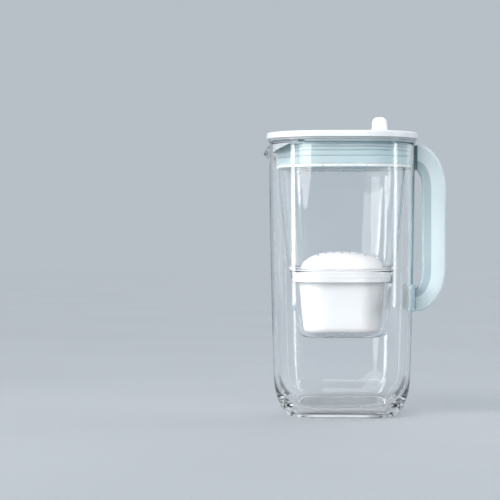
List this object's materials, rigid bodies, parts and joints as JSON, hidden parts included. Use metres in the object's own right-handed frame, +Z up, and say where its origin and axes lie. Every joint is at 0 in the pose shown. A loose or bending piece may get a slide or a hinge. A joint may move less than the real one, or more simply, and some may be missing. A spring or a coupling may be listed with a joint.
{
  "type": "water filter pitcher with flip lid",
  "caption": "Tall glass jug with a lift-out clear filter hopper, an oval filter cartridge, a C-shaped hollow handle, a pouring lip and a white lid with a flip-up fill flap.",
  "frame": {"origin": "centre of the glass jug's flat base", "axes": "+Z up, spout towards -X, handle towards +X, +Y across the jug to the far side when the spout is on the left"},
  "size_m": [0.1876, 0.146, 0.3065],
  "materials": {
    "clear_glass": "clear pressed glass, polished",
    "clear_plastic": "clear moulded plastic",
    "blue_clear_plastic": "light blue translucent plastic",
    "teal_plastic": "dark blue-green translucent plastic",
    "grey_clear_plastic": "pale grey translucent plastic",
    "white_plastic": "white moulded plastic, satin",
    "cartridge_white": "white moulded plastic, fine matte",
    "bond": "clear bonding pad",
    "steel": "stainless steel",
    "indicator_grey": "translucent grey light window",
    "board_green": "coated circuit board",
    "seal_rubber": "soft pale grey elastomer",
    "screen_fleece": "fine white woven mesh",
    "filter_granules": "dark granules"
  },
  "bodies": {
    "jug": {"glass_jug": "clear_glass", "handle_outer_shell": "blue_clear_plastic", "handle_inner_shell": "blue_clear_plastic", "upper_saddle": "teal_plastic", "lower_saddle": "blue_clear_plastic", "bond_pads": "bond", "handle_screws": "steel"},
    "hopper": {"hopper_tank": "clear_plastic", "pouring_collar": "blue_clear_plastic"},
    "lid": {"lid_top": "white_plastic", "lid_skirt": "grey_clear_plastic", "flap_hinge_pin": "steel", "indicator_housing": "white_plastic", "indicator_board": "board_green", "coin_cell": "steel", "indicator_cover": "white_plastic"},
    "flap": {"flip_flap": "white_plastic"},
    "pour_flap": {"spout_flap": "white_plastic"},
    "button": {"indicator_button": "indicator_grey"},
    "cartridge": {"cartridge_cup": "cartridge_white", "cartridge_cap": "cartridge_white", "cartridge_seal": "seal_rubber", "top_screen": "screen_fleece", "bottom_screen": "screen_fleece", "filter_media": "filter_granules"}
  },
  "joints": [
    {"name": "hopper_lift", "type": "slide", "parent": "jug", "child": "hopper", "axis": [0, 0, 1], "range_m": [0, 0.205]},
    {"name": "lid_lift", "type": "slide", "parent": "hopper", "child": "lid", "axis": [0, 0, 1], "range_m": [0, 0.05]},
    {"name": "fill_flap_hinge", "type": "hinge", "parent": "lid", "child": "flap", "pos_m": [-0.028, 0, 0.2866], "axis": [0, -1, 0], "range_deg": [0, 95]},
    {"name": "spout_flap_hinge", "type": "hinge", "parent": "lid", "child": "pour_flap", "pos_m": [-0.0721, 0, 0.2783], "axis": [0, 1, 0], "range_deg": [0, 55]},
    {"name": "indicator_press", "type": "slide", "parent": "lid", "child": "button", "axis": [0, 0, -1], "range_m": [0, 0.0006], "stiffness_N_per_m": 400},
    {"name": "cartridge_lift", "type": "slide", "parent": "hopper", "child": "cartridge", "axis": [0, 0, 1], "range_m": [0, 0.068]}
  ]
}
